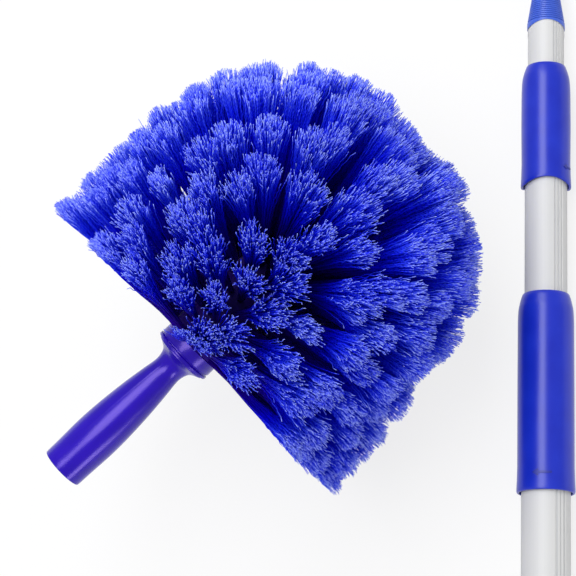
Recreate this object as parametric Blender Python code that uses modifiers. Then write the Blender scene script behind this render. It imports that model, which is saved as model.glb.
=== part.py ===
"""Ceiling fan duster: a round domed brush head that pushes onto the ribbed cone of a
three-section telescopic pole with two twist locks. Metres, +Z up. Head and pole lie side by
side on the floor at z = 0, the head off the pole, as they are put down between uses."""

import math

import bmesh
import bpy
from mathutils import Euler, Matrix, Vector

# Fits and cuts
FACE_GAP = 0.0003
PUSH_FIT = 0.00015
SLIDE_FIT = 0.0002
TURN_FIT = 0.0004
CUT_OVERRUN = 0.002
MERGE_DISTANCE = 0.00001

# Roundness, as the number of sides of a turned piece
SHOWN_SIDES = 32
TUBE_SIDES = 24
PIN_SIDES = 12

# Tubes of the pole
OUTER_TUBE_RADIUS = 0.0125
MIDDLE_TUBE_RADIUS = 0.0110
INNER_TUBE_RADIUS = 0.0095
TUBE_WALL = 0.0007
OUTER_TUBE_LENGTH = 0.560
MIDDLE_TUBE_LENGTH = 0.540
MIDDLE_TUBE_SHOWING = 0.0569
INNER_TUBE_SHOWING = 0.0238
INNER_FOOT_ROOM = 0.0477
FLUTE_DEPTH = 0.0003
FLUTE_WIDTH = 0.0007
FLUTE_MIDDLE_ANGLE = math.radians(-130.5)
FLUTE_SPACING_ANGLE = math.radians(10.4)

# Twist locks
LOWER_SLEEVE_LENGTH = 0.1032
LOWER_SLEEVE_RADIUS = 0.0146
LOWER_SLEEVE_RIM_RADIUS = 0.0152
UPPER_SLEEVE_LENGTH = 0.0670
UPPER_SLEEVE_RADIUS = 0.0128
UPPER_SLEEVE_RIM_RADIUS = 0.0134
SLEEVE_RING_HEIGHT = 0.0055
SLEEVE_RING_WALL = 0.0012
SLEEVE_SHOULDER_HEIGHT = 0.0055
SLEEVE_NECK_LENGTH = 0.0130
SLEEVE_NECK_TAPER = 0.0025
SLEEVE_RIM_HEIGHT = 0.0024
SLEEVE_RIM_FLARE = 0.0004
SCALLOP_DEPTH = 0.0035
SCALLOP_FACING_ANGLE = math.radians(-161.5)
CLAMP_RING_HEIGHT = 0.0080
CLAMP_RING_SPLIT = 0.0022
COLLAR_WALL = 0.0006
COLLAR_FINGER_LENGTH = 0.0130
COLLAR_SHELF = 0.0025
COLLAR_SKIRT = 0.0180
COLLAR_SLOT_WIDTH = 0.0014
COLLAR_SLOTS = 4
THREAD_HEIGHT = 0.00015
THREAD_PITCH = 0.0030
THREAD_TURNS = 2

# Guide bushes on the feet of the sliding tubes
BUSH_LENGTH = 0.0160
BUSH_HEAD = 0.0050
BUSH_BORE_RADIUS = 0.0060

# Hand grip and end cap
GRIP_LENGTH = 0.1200
GRIP_GROOVES = 4
GRIP_GROOVE_WIDTH = 0.0045
GRIP_GROOVE_DEPTH = 0.0008
GRIP_EDGE = 0.0012
CAP_FLANGE_HEIGHT = 0.0040
CAP_FLANGE_RADIUS = 0.0138
CAP_PLUG_LENGTH = 0.0200
CAP_EYE_REACH = 0.0135
CAP_EYE_WIDTH = 0.0190
CAP_EYE_THICKNESS = 0.0060
CAP_EYE_HOLE_RADIUS = 0.0052

# Ribbed cone at the top of the pole
CONE_BASE_RADIUS = 0.0098
CONE_NECK_RADIUS = 0.0077
CONE_END_RADIUS = 0.0066
CONE_RIBBED_HEIGHT = 0.0140
CONE_LENGTH = 0.0450
CONE_RIBS = 11
CONE_RIB_DEPTH = 0.00025
CONE_END_ROUND = 0.0012
CONE_BASE_LIP = 0.0010
CONE_SPIGOT_LENGTH = 0.0220
CONE_SPIGOT_BORE = 0.0055
PIN_RADIUS = 0.0013
PIN_HEAD_RADIUS = 0.0019
PIN_HEAD_HEIGHT = 0.0004
PIN_SETBACK = 0.0060

# Socket handle of the brush head
HANDLE_LENGTH = 0.0820
HANDLE_RADIUS = 0.0115
HANDLE_MOUTH_EDGE = 0.0004
SOCKET_CLEARANCE = 0.00025
SOCKET_END_ROOM = 0.0020
FLANGE_RADIUS = 0.0160
FLANGE_THICKNESS = 0.0015
FLANGE_STEP_RADIUS = 0.0142
FLANGE_STEP_HEIGHT = 0.0010
SPINE_RADIUS = 0.0050
# Heights are shares of HANDLE_LENGTH and radii are shares of HANDLE_RADIUS, mouth first
handle_outline_shares = (
    (0.10, 1.010),
    (0.27, 1.043),
    (0.39, 1.026),
    (0.51, 0.974),
    (0.65, 0.887),
    (0.79, 0.765),
    (0.88, 0.680),
    (0.93, 0.720),
    (0.97, 0.870),
)

# Brush block and bristles
BASE_WALL_RADIUS = 0.0150
BASE_WALL_HEIGHT = 0.0068
BLOCK_RADIUS = 0.0160
DOME_RADIUS = 0.1000
ROW_PITCH = 0.0124
STRAIGHT_ROWS = 5
STRAIGHT_ROW_TUFTS = 12
DOME_SIDES = 24
# Each row on the rounded end of the block: its angle above the straight part, and the angle
# where its slice of the block ends
DOME_ROWS = (
    (math.radians(9), math.radians(19)),
    (math.radians(29), math.radians(40)),
    (math.radians(51), math.radians(62)),
)
DOME_ROW_TUFTS = 12
CROWN_RING_ANGLE = math.radians(73)
CROWN_RING_TUFTS = 6
STRAND_SIDES = 3
STRAND_ROOT_RADIUS = 0.0007
STRAND_TIP_RADIUS = 0.0014
STRAND_ROOT_SPREAD = 0.0013
STRAND_ROOT_DEPTH = 0.0016
ROUND_FAN_ANGLE = math.radians(6.5)
STRAIGHT_FAN_ANGLE = math.radians(2.9)
DOME_FAN_ANGLE = math.radians(6.0)
RAGGED_REACH_SHARE = 0.035
STANDING_FLAT = 0.0005

# Where the pole lies beside the head
POLE_TURN = math.radians(48.54)
POLE_FOOT_PLACE = (-0.1727, -0.5408)

# Places worked out from the sizes above, along each axis
AXIS_HEIGHT = DOME_RADIUS - STANDING_FLAT
GRIP_RADIUS = LOWER_SLEEVE_RIM_RADIUS
BRISTLE_REACH = DOME_RADIUS - BLOCK_RADIUS
FLANGE_TOP = HANDLE_LENGTH + FLANGE_STEP_HEIGHT + FLANGE_THICKNESS
BLOCK_FOOT = FLANGE_TOP + BASE_WALL_HEIGHT
STRAIGHT_LENGTH = ROW_PITCH * STRAIGHT_ROWS
DOME_CENTRE = BLOCK_FOOT + STRAIGHT_LENGTH
CAP_FLANGE_TOP = CAP_EYE_REACH + CAP_FLANGE_HEIGHT
OUTER_TUBE_FOOT = CAP_FLANGE_TOP + FACE_GAP
OUTER_TUBE_TOP = OUTER_TUBE_FOOT + OUTER_TUBE_LENGTH
LOCK_DEPTH = (
    SLEEVE_NECK_LENGTH
    + SLEEVE_NECK_TAPER
    + FACE_GAP
    + CLAMP_RING_HEIGHT
    + FACE_GAP
    + COLLAR_FINGER_LENGTH
    + COLLAR_SHELF
    + FACE_GAP
)
LOWER_SLEEVE_TOP = OUTER_TUBE_TOP + LOCK_DEPTH
UPPER_SLEEVE_FOOT = LOWER_SLEEVE_TOP + MIDDLE_TUBE_SHOWING
UPPER_SLEEVE_TOP = UPPER_SLEEVE_FOOT + UPPER_SLEEVE_LENGTH
MIDDLE_TUBE_TOP = UPPER_SLEEVE_TOP - LOCK_DEPTH
MIDDLE_TUBE_FOOT = MIDDLE_TUBE_TOP - MIDDLE_TUBE_LENGTH
INNER_TUBE_TOP = UPPER_SLEEVE_TOP + INNER_TUBE_SHOWING
INNER_TUBE_FOOT = MIDDLE_TUBE_FOOT + BUSH_LENGTH + INNER_FOOT_ROOM
INNER_TUBE_LENGTH = INNER_TUBE_TOP - INNER_TUBE_FOOT
HALF_TURN = math.pi
FULL_TURN = 2 * math.pi
QUARTER_TURN = math.pi / 2

BLUE_PLASTIC = (0.045, 0.085, 0.72, 1.0)
VIOLET_PLASTIC = (0.035, 0.006, 0.42, 1.0)
BRISTLE_BLUE = (0.03, 0.08, 0.85, 1.0)
NYLON_WHITE = (0.75, 0.75, 0.72, 1.0)
ANODISED = (0.72, 0.72, 0.73, 1.0)
STEEL = (0.55, 0.55, 0.56, 1.0)


def clear_scene():
    for thing in list(bpy.data.objects):
        bpy.data.objects.remove(thing, do_unlink=True)


def add_collection(name):
    collection = bpy.data.collections.new(name)
    bpy.context.scene.collection.children.link(collection)
    return collection


clear_scene()
PARTS = add_collection("ceiling_fan_duster")
CUTTERS = add_collection("cutters")


def add_empty(name, place, turn, parent):
    """A frame that pieces hang from: its own Z runs along their common axis."""
    empty = bpy.data.objects.new(name, None)
    empty.location = place
    empty.rotation_euler = turn
    empty.parent = parent
    PARTS.objects.link(empty)
    return empty


def add_finish(name, colour, roughness, metallic):
    finish = bpy.data.materials.new(name + "_finish")
    finish.use_nodes = True
    shader = finish.node_tree.nodes["Principled BSDF"]
    shader.inputs["Base Color"].default_value = colour
    shader.inputs["Roughness"].default_value = roughness
    shader.inputs["Metallic"].default_value = metallic
    return finish


def add_part(name, mesh, parent, height, colour, roughness=0.4, metallic=0.0):
    part = bpy.data.objects.new(name, mesh)
    part.location = (0, 0, height)
    part.parent = parent
    mesh.materials.append(add_finish(name, colour, roughness, metallic))
    PARTS.objects.link(part)
    return part


def add_cutter(name, mesh, parent, place, turn=(0, 0, 0)):
    """A shape that is cut from a part, or joined to it, and isn't a part itself."""
    cutter = bpy.data.objects.new(name, mesh)
    cutter.location = place
    cutter.rotation_euler = turn
    cutter.parent = parent
    cutter.hide_render = True
    cutter.display_type = "WIRE"
    CUTTERS.objects.link(cutter)
    return cutter


def apply_shape(part, other, operation):
    change = part.modifiers.new(operation.lower() + "_" + other.name, "BOOLEAN")
    change.operation = operation
    change.object = other


def outline_mesh(name, outline, closed, start=0):
    """Edges through (radius, height) points, in the upright plane that start turns from +X."""
    mesh = bpy.data.meshes.new(name)
    points = [(radius * math.cos(start), radius * math.sin(start), height) for radius, height in outline]
    edges = [(i, i + 1) for i in range(len(points) - 1)]
    if closed:
        edges.append((len(points) - 1, 0))
    mesh.from_pydata(points, edges, [])
    return mesh


def spin_outline(turned, sides):
    screw = turned.modifiers.new("turn", "SCREW")
    screw.axis = "Z"
    screw.angle = FULL_TURN
    screw.steps = sides
    screw.render_steps = sides
    screw.use_merge_vertices = True
    screw.merge_threshold = MERGE_DISTANCE
    screw.use_smooth_shade = True


def add_turned(name, outline, parent, height, colour, sides=TUBE_SIDES, start=0, **look):
    """A turned piece. Its outline runs down the outer side, and up the inner side if it is
    hollow; a solid one starts and ends on the axis."""
    hollow = outline[0][0] > 0
    part = add_part(name, outline_mesh(name, outline, hollow, start), parent, height, colour, **look)
    spin_outline(part, sides)
    return part


def box_mesh(name, size, centre=(0, 0, 0)):
    mesh = bpy.data.meshes.new(name)
    box = bmesh.new()
    bmesh.ops.create_cube(box, size=1, matrix=Matrix.Translation(centre) @ Matrix.Diagonal((*size, 1)))
    box.to_mesh(mesh)
    box.free()
    return mesh


def rod_mesh(name, radius, length, sides, turn=(0, 0, 0), centre=(0, 0, 0)):
    mesh = bpy.data.meshes.new(name)
    rod = bmesh.new()
    place = Matrix.Translation(centre) @ Euler(turn).to_matrix().to_4x4()
    bmesh.ops.create_cone(
        rod, cap_ends=True, segments=sides, radius1=radius, radius2=radius, depth=length, matrix=place
    )
    rod.to_mesh(mesh)
    rod.free()
    return mesh


# Tubes

def add_tube(name, radius, length, foot, parent):
    """A drawn aluminium tube with three shallow flutes along one side, which key the tubes."""
    bore = radius - TUBE_WALL
    outline = [(radius, length), (radius, 0), (bore, 0), (bore, length)]
    tube = add_turned(name, outline, parent, foot, ANODISED, roughness=0.32, metallic=0.9)
    for number in (-1, 0, 1):
        angle = FLUTE_MIDDLE_ANGLE + number * FLUTE_SPACING_ANGLE
        size = (2 * FLUTE_DEPTH, FLUTE_WIDTH, length + 2 * CUT_OVERRUN)
        place = (radius * math.cos(angle), radius * math.sin(angle), length / 2)
        flute = add_cutter(f"{name}_flute_{number + 2}", box_mesh("flute", size), tube, place, (0, 0, angle))
        apply_shape(tube, flute, "DIFFERENCE")
    return tube


def add_foot_bush(name, tube_radius, outer_bore, foot, parent):
    """A plastic plug in the foot of a sliding tube, whose head guides it in the next tube."""
    head = outer_bore - SLIDE_FIT
    plug = tube_radius - TUBE_WALL - PUSH_FIT
    bore = BUSH_BORE_RADIUS
    outline = [
        (plug, BUSH_LENGTH - BUSH_HEAD),
        (plug, -FACE_GAP),
        (head, -FACE_GAP),
        (head, -BUSH_HEAD),
        (bore, -BUSH_HEAD),
        (bore, BUSH_LENGTH - BUSH_HEAD),
    ]
    return add_turned(name, outline, parent, foot, NYLON_WHITE, roughness=0.5)


# Twist locks

def add_lock_sleeve(name, length, radius, rim_radius, small_tube, big_tube, top, parent):
    """The moulded sleeve that is gripped and turned. Its neck clears the thinner tube."""
    neck = small_tube + TURN_FIT
    ring = neck + SLEEVE_RING_WALL
    bore = big_tube + PUSH_FIT + COLLAR_WALL + THREAD_HEIGHT + SLIDE_FIT
    shoulder = SLEEVE_RING_HEIGHT + SLEEVE_SHOULDER_HEIGHT
    rim_edge = rim_radius - SLEEVE_RIM_FLARE
    outline = [
        (ring - SLEEVE_RIM_FLARE, 0),
        (ring, -SLEEVE_RIM_FLARE),
        (ring, -SLEEVE_RING_HEIGHT),
        ((ring + radius) / 2, -SLEEVE_RING_HEIGHT - SLEEVE_SHOULDER_HEIGHT / 2),
        (radius, -shoulder),
        (rim_edge, -length + SLEEVE_RIM_HEIGHT),
        (rim_radius, -length + SLEEVE_RIM_HEIGHT / 2),
        (rim_edge, -length),
        (bore, -length),
        (bore, -SLEEVE_NECK_LENGTH - SLEEVE_NECK_TAPER),
        (neck, -SLEEVE_NECK_LENGTH),
        (neck, 0),
    ]
    return add_turned(name, outline, parent, top, BLUE_PLASTIC, sides=SHOWN_SIDES, roughness=0.42)


def scallop_sleeve(sleeve, length, rim_radius):
    """Cuts the foot of a sleeve to a shallow arch, so that it is deeper at its two sides."""
    arch = (rim_radius**2 + SCALLOP_DEPTH**2) / (2 * SCALLOP_DEPTH)
    turn = (0, QUARTER_TURN, SCALLOP_FACING_ANGLE)
    place = (0, 0, SCALLOP_DEPTH - length - arch)
    mesh = rod_mesh("scallop", arch, 4 * rim_radius, 2 * SHOWN_SIDES)
    apply_shape(sleeve, add_cutter(sleeve.name + "_scallop", mesh, sleeve, place, turn), "DIFFERENCE")


def add_clamp_ring(name, small_tube, big_tube, top, parent):
    """A split ring that the sleeve pushes down, so that it closes the fingers on the tube."""
    inner = small_tube + SLIDE_FIT
    outer = big_tube + PUSH_FIT + COLLAR_WALL
    outline = [
        (outer, 0),
        (outer, -CLAMP_RING_HEIGHT),
        (inner, -CLAMP_RING_HEIGHT),
        (inner, 0),
    ]
    ring = add_turned(name, outline, parent, top, NYLON_WHITE, roughness=0.5)
    size = (outer + CUT_OVERRUN, CLAMP_RING_SPLIT, CLAMP_RING_HEIGHT + 2 * CUT_OVERRUN)
    split = box_mesh("split", size, (size[0] / 2, 0, 0))
    place = (0, 0, -CLAMP_RING_HEIGHT / 2)
    apply_shape(ring, add_cutter(name + "_split", split, ring, place), "DIFFERENCE")
    return ring


def add_collar(name, small_tube, big_tube, tube_top, parent):
    """A threaded collar over the end of the thicker tube, with slotted fingers round the
    thinner one."""
    inner = small_tube + SLIDE_FIT
    skirt = big_tube + PUSH_FIT
    outer = skirt + COLLAR_WALL
    top = COLLAR_SHELF + COLLAR_FINGER_LENGTH + FACE_GAP
    finger = outer - COLLAR_WALL
    outline = [(finger, top), (outer, COLLAR_SHELF + FACE_GAP)]
    for turn in range(THREAD_TURNS):
        crest = -THREAD_PITCH * (turn + 1)
        outline += [
            (outer, crest + THREAD_PITCH / 4),
            (outer + THREAD_HEIGHT, crest),
            (outer, crest - THREAD_PITCH / 4),
        ]
    outline += [
        (outer, -COLLAR_SKIRT),
        (skirt, -COLLAR_SKIRT),
        (skirt, FACE_GAP),
        (inner, FACE_GAP),
        (inner, top),
    ]
    collar = add_turned(name, outline, parent, tube_top, NYLON_WHITE, roughness=0.5)
    size = (2 * outer + 2 * CUT_OVERRUN, COLLAR_SLOT_WIDTH, COLLAR_FINGER_LENGTH + CUT_OVERRUN)
    middle = top - COLLAR_FINGER_LENGTH / 2 + CUT_OVERRUN / 2
    for number in range(COLLAR_SLOTS // 2):
        turn = (0, 0, (number + 1 / 2) * HALF_TURN / (COLLAR_SLOTS // 2))
        slot = add_cutter(f"{name}_slot_{number + 1}", box_mesh("slot", size), collar, (0, 0, middle), turn)
        apply_shape(collar, slot, "DIFFERENCE")
    return collar


def add_lock(level, sleeve_sizes, small_tube, big_tube, tube_top, parent):
    """Collar, clamp ring and sleeve of one twist lock, from its big tube's end upwards."""
    length, radius, rim_radius = sleeve_sizes
    sleeve_top = tube_top + LOCK_DEPTH
    ring_top = sleeve_top - SLEEVE_NECK_LENGTH - SLEEVE_NECK_TAPER - FACE_GAP
    add_collar(level + "_collar", small_tube, big_tube, tube_top, parent)
    add_clamp_ring(level + "_clamp_ring", small_tube, big_tube, ring_top, parent)
    return add_lock_sleeve(
        level + "_lock_sleeve", length, radius, rim_radius, small_tube, big_tube, sleeve_top, parent
    )


# Hand grip and end cap

def add_hand_grip(parent):
    """A soft grip with turned finger grooves, pushed over the foot of the outer tube."""
    bore = OUTER_TUBE_RADIUS + PUSH_FIT
    groove_pitch = GRIP_LENGTH / (GRIP_GROOVES + 1)
    outline = [(GRIP_RADIUS - GRIP_EDGE, GRIP_LENGTH), (GRIP_RADIUS, GRIP_LENGTH - GRIP_EDGE)]
    for number in range(GRIP_GROOVES, 0, -1):
        middle = groove_pitch * number
        outline += [
            (GRIP_RADIUS, middle + GRIP_GROOVE_WIDTH / 2),
            (GRIP_RADIUS - GRIP_GROOVE_DEPTH, middle),
            (GRIP_RADIUS, middle - GRIP_GROOVE_WIDTH / 2),
        ]
    outline += [(GRIP_RADIUS, GRIP_EDGE), (GRIP_RADIUS - GRIP_EDGE, 0), (bore, 0), (bore, GRIP_LENGTH)]
    return add_turned("hand_grip", outline, parent, OUTER_TUBE_FOOT, BLUE_PLASTIC, roughness=0.6)


def add_end_cap(parent):
    """A plug in the foot of the outer tube, with a flat hanging eye that lies level."""
    plug = OUTER_TUBE_RADIUS - TUBE_WALL - PUSH_FIT
    top = CAP_FLANGE_TOP + CAP_PLUG_LENGTH
    outline = [
        (0, top),
        (plug, top),
        (plug, CAP_FLANGE_TOP),
        (CAP_FLANGE_RADIUS, CAP_FLANGE_TOP),
        (CAP_FLANGE_RADIUS, CAP_EYE_REACH),
        (0, CAP_EYE_REACH),
    ]
    cap = add_turned("end_cap", outline, parent, 0, BLUE_PLASTIC, roughness=0.45)
    eye_radius = CAP_EYE_WIDTH / 2
    level = (0, QUARTER_TURN, 0)
    tongue_length = CAP_EYE_REACH + CAP_FLANGE_HEIGHT / 2
    size = (CAP_EYE_THICKNESS, CAP_EYE_WIDTH, tongue_length - eye_radius)
    centre = (0, 0, eye_radius + size[2] / 2)
    tongue = add_cutter("end_cap_tongue", box_mesh("tongue", size), cap, centre)
    end = rod_mesh("eye", eye_radius, CAP_EYE_THICKNESS, TUBE_SIDES)
    rounded = add_cutter("end_cap_eye", end, cap, (0, 0, eye_radius), level)
    hole_mesh = rod_mesh("hole", CAP_EYE_HOLE_RADIUS, CAP_EYE_THICKNESS + 2 * CUT_OVERRUN, TUBE_SIDES)
    hole = add_cutter("end_cap_hole", hole_mesh, cap, (0, 0, eye_radius), level)
    apply_shape(cap, tongue, "UNION")
    apply_shape(cap, rounded, "UNION")
    apply_shape(cap, hole, "DIFFERENCE")
    return cap


# Ribbed cone

def cone_outline():
    """(radius, height) up the outside of the cone from its base lip, with its ribs."""
    points = [(CONE_BASE_RADIUS, FACE_GAP), (CONE_BASE_RADIUS, CONE_BASE_LIP)]
    rib_pitch = (CONE_RIBBED_HEIGHT - CONE_BASE_LIP) / CONE_RIBS
    fall = (CONE_BASE_RADIUS - CONE_NECK_RADIUS) / CONE_RIBS
    for number in range(CONE_RIBS):
        low = CONE_BASE_LIP + number * rib_pitch
        radius = CONE_BASE_RADIUS - number * fall
        points += [(radius - fall - CONE_RIB_DEPTH, low + rib_pitch / 2), (radius - fall, low + rib_pitch)]
    points += [
        (CONE_END_RADIUS, CONE_LENGTH - CONE_END_ROUND),
        (CONE_END_RADIUS - CONE_END_ROUND, CONE_LENGTH),
    ]
    return points


def add_cone_tip(parent):
    """The cone that the head's socket pushes onto, plugged into the top of the inner tube."""
    spigot = INNER_TUBE_RADIUS - TUBE_WALL - PUSH_FIT
    bore = CONE_SPIGOT_BORE
    outline = [(0, CONE_LENGTH)] + cone_outline()[::-1]
    outline += [
        (spigot, FACE_GAP),
        (spigot, -CONE_SPIGOT_LENGTH),
        (bore, -CONE_SPIGOT_LENGTH),
        (bore, 0),
        (0, 0),
    ]
    tip = add_turned("cone_tip", outline, parent, INNER_TUBE_TOP, BLUE_PLASTIC, roughness=0.42)
    for side, angle in (
        ("right", SCALLOP_FACING_ANGLE + QUARTER_TURN),
        ("left", SCALLOP_FACING_ANGLE - QUARTER_TURN),
    ):
        add_tip_pin(side, angle, tip, parent)
    return tip


def add_tip_pin(side, angle, tip, parent):
    """A drive pin through the tube's wall into the cone's spigot, one on each side."""
    start = CONE_SPIGOT_BORE
    flat = INNER_TUBE_RADIUS + FACE_GAP
    length = flat - start
    outline = [
        (0, PIN_HEAD_HEIGHT),
        (PIN_HEAD_RADIUS - PIN_HEAD_HEIGHT / 2, PIN_HEAD_HEIGHT),
        (PIN_HEAD_RADIUS, 0),
        (PIN_RADIUS, 0),
        (PIN_RADIUS, -length),
        (0, -length),
    ]
    pin = add_turned("tip_pin_" + side, outline, parent, 0, STEEL, sides=PIN_SIDES, roughness=0.3, metallic=1.0)
    pin.location = (flat * math.cos(angle), flat * math.sin(angle), INNER_TUBE_TOP - PIN_SETBACK)
    pin.rotation_euler = (0, QUARTER_TURN, angle)
    hole_length = length + 2 * CUT_OVERRUN
    hole = rod_mesh("pin_hole", PIN_RADIUS + PUSH_FIT, hole_length, PIN_SIDES)
    middle = flat - length / 2
    for owner, base in ((tip, 0), (bpy.data.objects["inner_tube"], INNER_TUBE_LENGTH)):
        place = (middle * math.cos(angle), middle * math.sin(angle), base - PIN_SETBACK)
        cutter = add_cutter(f"{owner.name}_{side}_pin_hole", hole, owner, place, (0, QUARTER_TURN, angle))
        apply_shape(owner, cutter, "DIFFERENCE")


# Socket handle

def add_socket_handle(parent):
    """The moulded socket: a bellied handle, a narrow neck, a stepped flange and the spine that
    the brush block is built up on."""
    end = CONE_LENGTH + SOCKET_END_ROOM
    spine_top = DOME_CENTRE + (SPINE_RADIUS + PUSH_FIT) * math.tan(DOME_ROWS[-1][1]) - FACE_GAP
    outline = [
        (0, spine_top),
        (SPINE_RADIUS, spine_top),
        (SPINE_RADIUS, FLANGE_TOP),
        (FLANGE_RADIUS, FLANGE_TOP),
        (FLANGE_RADIUS, HANDLE_LENGTH + FLANGE_STEP_HEIGHT),
        (FLANGE_STEP_RADIUS, HANDLE_LENGTH + FLANGE_STEP_HEIGHT),
        (FLANGE_STEP_RADIUS, HANDLE_LENGTH),
    ]
    for height_share, radius_share in reversed(handle_outline_shares):
        outline.append((HANDLE_RADIUS * radius_share, HANDLE_LENGTH * height_share))
    outline += [
        (HANDLE_RADIUS, HANDLE_MOUTH_EDGE),
        (HANDLE_RADIUS - HANDLE_MOUTH_EDGE, 0),
        (CONE_BASE_RADIUS + SOCKET_CLEARANCE, 0),
        (CONE_NECK_RADIUS + SOCKET_CLEARANCE, CONE_RIBBED_HEIGHT),
        (CONE_END_RADIUS + SOCKET_CLEARANCE, end),
        (0, end),
    ]
    return add_turned(
        "socket_handle", outline, parent, 0, VIOLET_PLASTIC, sides=SHOWN_SIDES, roughness=0.28
    )


# Brush block and bristles

def add_block_base(parent):
    """The plain foot of the brush block, between the flange and the first row of tufts."""
    inner = SPINE_RADIUS + PUSH_FIT
    height = BASE_WALL_HEIGHT - FACE_GAP
    outline = [
        (BASE_WALL_RADIUS, height),
        (BASE_WALL_RADIUS, FACE_GAP),
        (inner, FACE_GAP),
        (inner, height),
    ]
    return add_turned("block_base", outline, parent, FLANGE_TOP, VIOLET_PLASTIC, roughness=0.3)


def strand_mesh(name, tufts):
    """Every strand of a row: each tuft is (root, outward, along, fan angles), and its four
    strands lean to its two sides and to its front and back, clear of each other."""
    mesh = bpy.data.meshes.new(name)
    strands = bmesh.new()
    for number, (root, outward, along, side_angle, along_angle) in enumerate(tufts):
        sideways = outward.cross(along)
        ragged = RAGGED_REACH_SHARE * math.sin(number) ** 2
        leans = (
            (sideways, side_angle, ragged),
            (-sideways, side_angle, RAGGED_REACH_SHARE - ragged),
            (along, along_angle, 0),
            (-along, along_angle, 0),
        )
        for lean, angle, shorter_share in leans:
            direction = (outward * math.cos(angle) + lean * math.sin(angle)).normalized()
            start = root + lean * STRAND_ROOT_SPREAD - outward * STRAND_ROOT_DEPTH
            length = BRISTLE_REACH * (1 - shorter_share) + STRAND_ROOT_DEPTH
            middle = start + direction * length / 2
            place = Matrix.Translation(middle) @ direction.to_track_quat("Z", "Y").to_matrix().to_4x4()
            bmesh.ops.create_cone(
                strands,
                cap_ends=True,
                segments=STRAND_SIDES,
                radius1=STRAND_ROOT_RADIUS,
                radius2=STRAND_TIP_RADIUS,
                depth=length,
                matrix=place,
            )
    strands.to_mesh(mesh)
    strands.free()
    return mesh


def ring_of_tufts(count, stagger, radius, height, tilt, along_angle):
    """The tufts of one row, evenly round the axis, tilted up by the angle tilt."""
    tufts = []
    for number in range(count):
        turn = FULL_TURN * (number + stagger) / count
        spoke = Vector((math.cos(turn), math.sin(turn), 0))
        up = Vector((0, 0, 1))
        outward = spoke * math.cos(tilt) + up * math.sin(tilt)
        along = up * math.cos(tilt) - spoke * math.sin(tilt)
        tufts.append((spoke * radius + up * height, outward, along, ROUND_FAN_ANGLE, along_angle))
    return tufts


def add_tuft_row(name, outline, tufts, parent, sides, start):
    """A slice of the block with the strands of its tufts fused to it, cut flat where the head
    lies on the floor. Each tuft stands in the middle of one of the slice's sides."""
    row = add_turned(name, outline, parent, 0, BRISTLE_BLUE, sides=sides, start=start, roughness=0.55)
    strands = add_cutter(name + "_strands", strand_mesh(name + "_strands", tufts), row, (0, 0, 0))
    apply_shape(row, strands, "UNION")
    depth = 2 * DOME_RADIUS
    size = (depth, depth, 2 * depth)
    below = add_cutter(name + "_floor", box_mesh("floor", size), row, (AXIS_HEIGHT + depth / 2, 0, depth))
    apply_shape(row, below, "DIFFERENCE")
    return row


def spine_bore(sides):
    """The radius, at its corners, of a bore whose flat sides clear the spine."""
    return (SPINE_RADIUS + PUSH_FIT) / math.cos(HALF_TURN / sides)


def dome_point(angle):
    return (BLOCK_RADIUS * math.cos(angle), DOME_CENTRE + BLOCK_RADIUS * math.sin(angle))


def dome_joint(angle, lift):
    """The inner and outer end of the cone-shaped joint between two slices of the rounded block."""
    inner = spine_bore(DOME_SIDES)
    rise = lift / math.cos(angle)
    radius, height = dome_point(angle)
    return (inner, DOME_CENTRE + inner * math.tan(angle) + rise), (radius, height + rise)


def add_straight_rows(parent):
    inner = spine_bore(STRAIGHT_ROW_TUFTS)
    for number in range(STRAIGHT_ROWS):
        foot = BLOCK_FOOT + number * ROW_PITCH + FACE_GAP / 2
        top = BLOCK_FOOT + (number + 1) * ROW_PITCH - FACE_GAP / 2
        outline = [(BLOCK_RADIUS, top), (BLOCK_RADIUS, foot), (inner, foot), (inner, top)]
        stagger = (number % 2) / 2
        start = FULL_TURN * (stagger + 1 / 2) / STRAIGHT_ROW_TUFTS
        middle = (foot + top) / 2
        tufts = ring_of_tufts(STRAIGHT_ROW_TUFTS, stagger, BLOCK_RADIUS, middle, 0, STRAIGHT_FAN_ANGLE)
        add_tuft_row(f"tuft_row_{number + 1}", outline, tufts, parent, STRAIGHT_ROW_TUFTS, start)


def add_dome_rows(parent):
    start = HALF_TURN / DOME_SIDES
    low_inner = (spine_bore(DOME_SIDES), DOME_CENTRE + FACE_GAP / 2)
    low_outer = (BLOCK_RADIUS, DOME_CENTRE + FACE_GAP / 2)
    for number, (tilt, end) in enumerate(DOME_ROWS):
        high_inner, high_outer = dome_joint(end, -FACE_GAP / 2)
        radius, height = dome_point(tilt)
        outline = [high_outer, (radius, height), low_outer, low_inner, high_inner]
        stagger = ((STRAIGHT_ROWS + number) % 2) / 2
        tufts = ring_of_tufts(DOME_ROW_TUFTS, stagger, radius, height, tilt, DOME_FAN_ANGLE)
        name = f"tuft_row_{STRAIGHT_ROWS + number + 1}"
        add_tuft_row(name, outline, tufts, parent, DOME_SIDES, start)
        low_inner, low_outer = dome_joint(end, FACE_GAP / 2)
    radius, height = dome_point(CROWN_RING_ANGLE)
    top = dome_point(QUARTER_TURN)[1]
    outline = [(0, top), (radius, height), low_outer, low_inner, (0, low_inner[1])]
    tufts = ring_of_tufts(CROWN_RING_TUFTS, 0, radius, height, CROWN_RING_ANGLE, DOME_FAN_ANGLE)
    middle = (Vector((0, 0, top)), Vector((0, 0, 1)), Vector((1, 0, 0)), ROUND_FAN_ANGLE, DOME_FAN_ANGLE)
    add_tuft_row("tuft_crown", outline, tufts + [middle], parent, DOME_SIDES, start)


# Assembly

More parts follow.
